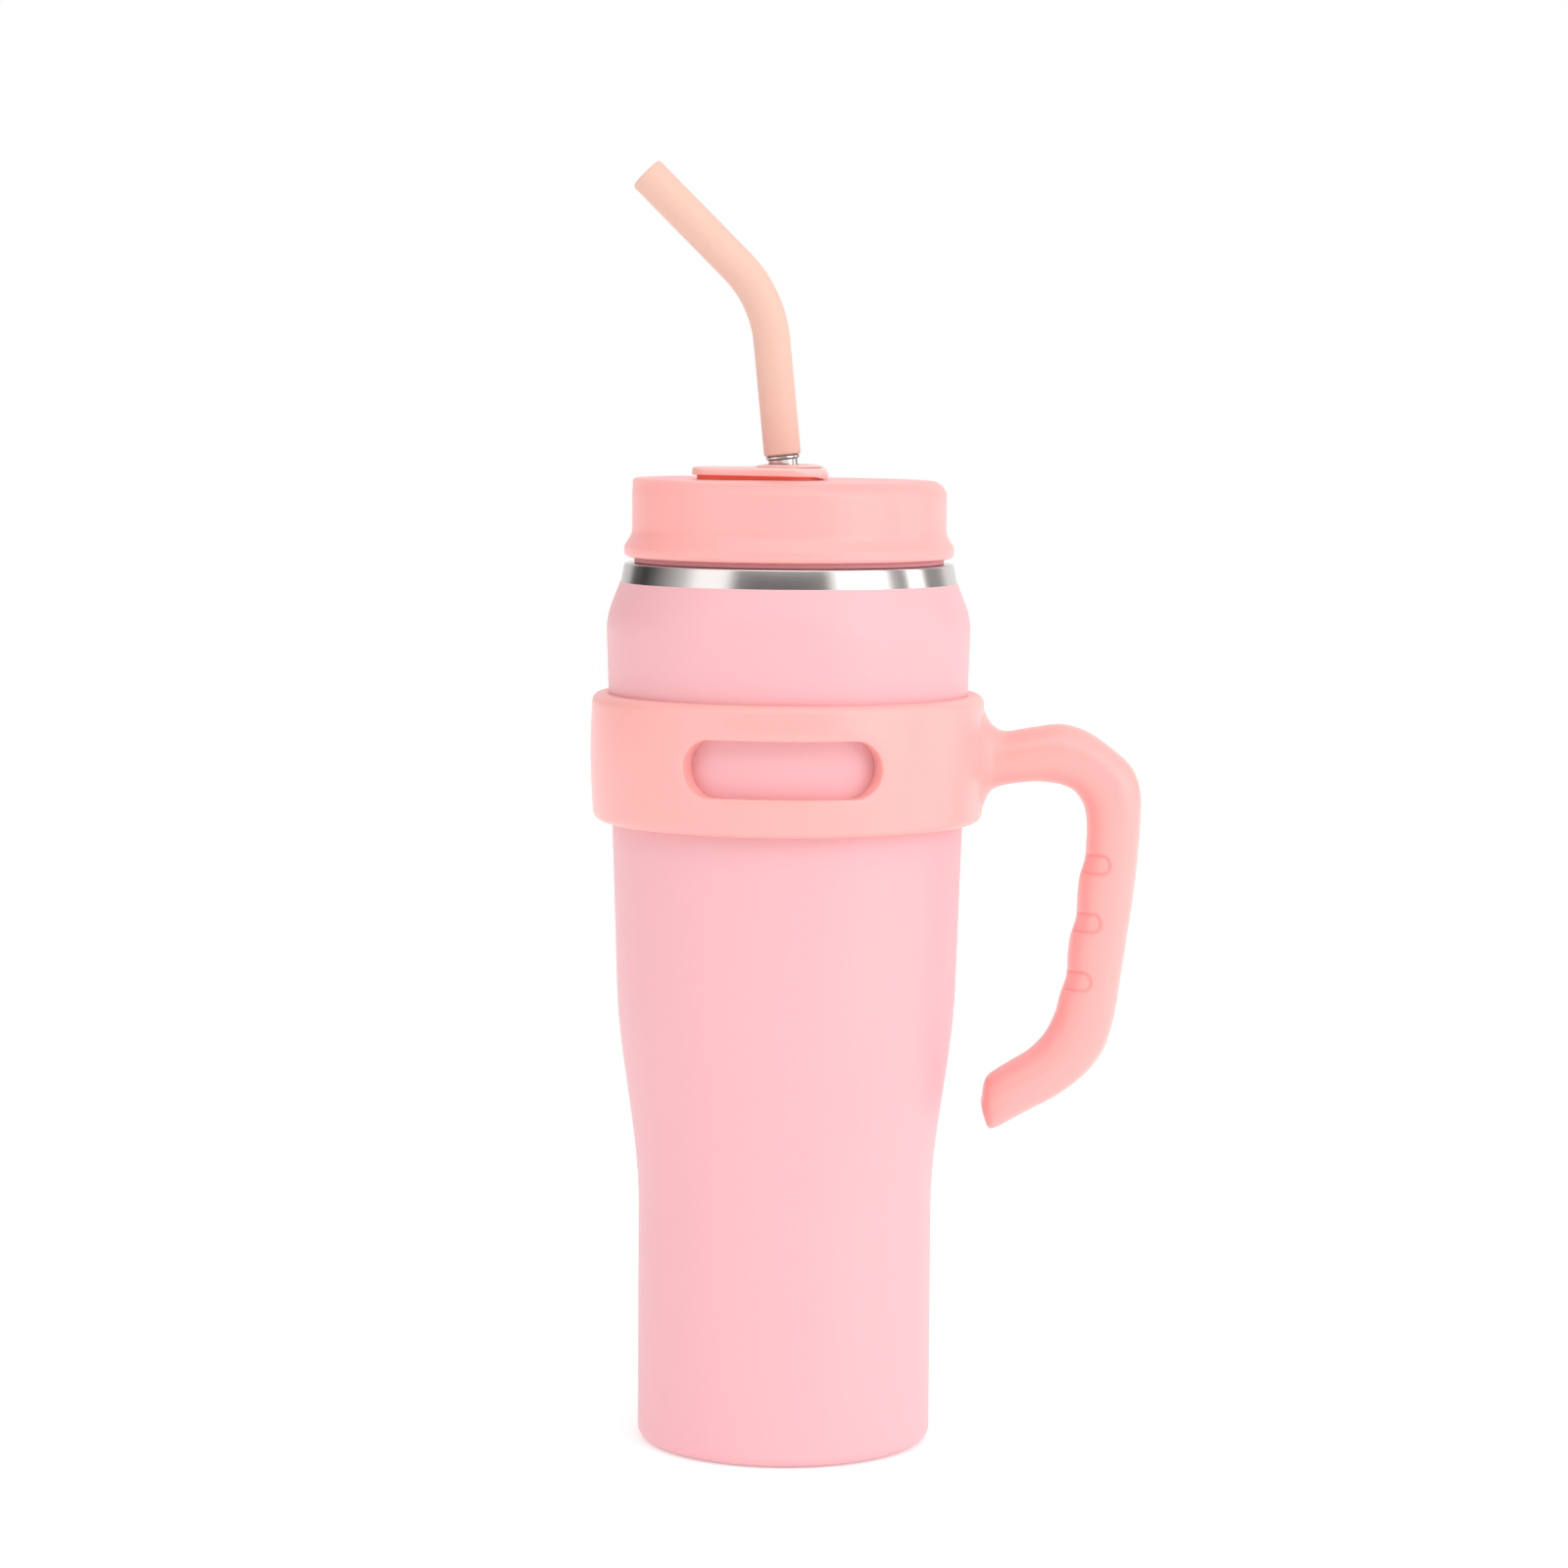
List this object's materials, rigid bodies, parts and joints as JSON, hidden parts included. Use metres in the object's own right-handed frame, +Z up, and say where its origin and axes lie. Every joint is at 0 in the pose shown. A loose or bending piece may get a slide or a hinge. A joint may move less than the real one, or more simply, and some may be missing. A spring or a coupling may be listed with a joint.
{
  "type": "insulated tumbler with lid",
  "caption": "Tall double-walled steel tumbler with a tapered foot, a screw lid with a rotary cover, a bent straw with a soft tip, and a clip-on band with an open J-shaped handle.",
  "frame": {"origin": "middle of the base pad's underside, on the surface the tumbler stands on", "axes": "+Z up along the cup's axis, +X towards the handle, -X towards the drinking side of the lid; the straw leans towards -X"},
  "size_m": [0.1489, 0.106, 0.3458],
  "materials": {
    "coated_steel": "satin pink powder coat",
    "bare_steel": "fine turned",
    "straw_steel": "polished stainless steel",
    "solder": "dull",
    "foil": "bright foil",
    "band_plastic": "soft satin moulding",
    "lid_plastic": "satin moulding",
    "cover_plastic": "satin moulding",
    "rose_silicone": "dull",
    "coral_silicone": "dull",
    "peach_silicone": "matt",
    "clear_silicone": "milky"
  },
  "bodies": {
    "cup": {"outer_shell": "coated_steel", "mouth_ring": "bare_steel", "inner_liner": "bare_steel", "shell_base": "bare_steel", "vacuum_seal": "solder", "getter": "solder", "foil_wrap": "foil", "base_pad": "clear_silicone"},
    "handle": {"handle_band": "band_plastic"},
    "gasket": {"lid_gasket": "rose_silicone"},
    "lid": {"lid_shell": "lid_plastic", "lid_plug": "lid_plastic", "pivot_bush": "cover_plastic", "straw_grommet": "clear_silicone"},
    "cover": {"rotary_cover": "cover_plastic", "cover_gasket": "coral_silicone"},
    "straw": {"straw_tube": "straw_steel"},
    "tip": {"straw_tip": "peach_silicone"}
  },
  "joints": [
    {"name": "lid_lift", "type": "slide", "parent": "cup", "child": "gasket", "axis": [0, 0, 1], "range_m": [0, 0.0365]},
    {"name": "lid_turn", "type": "hinge", "parent": "gasket", "child": "lid", "pos_m": [0, 0, 0.24], "axis": [0, 0, 1], "range_deg": [0, 1080]},
    {"name": "cover_turn", "type": "hinge", "parent": "lid", "child": "cover", "pos_m": [0, 0, 0.263], "axis": [0, 0, 1], "range_deg": [0, 120]},
    {"name": "straw_slide", "type": "slide", "parent": "lid", "child": "straw", "axis": [-0.1002, 0, 0.995], "range_m": [0, 0.262]},
    {"name": "tip_swivel", "type": "hinge", "parent": "straw", "child": "tip", "pos_m": [0, 0, 0.248], "axis": [-0.1002, 0, 0.995], "continuous": true},
    {"name": "handle_slide", "type": "slide", "parent": "cup", "child": "handle", "axis": [0, 0, -1], "range_m": [0, 0.08]}
  ],
  "couplings": [
    {"joint": "lid_lift", "follows": "lid_turn", "m_per_rad": 0.0019099}
  ]
}
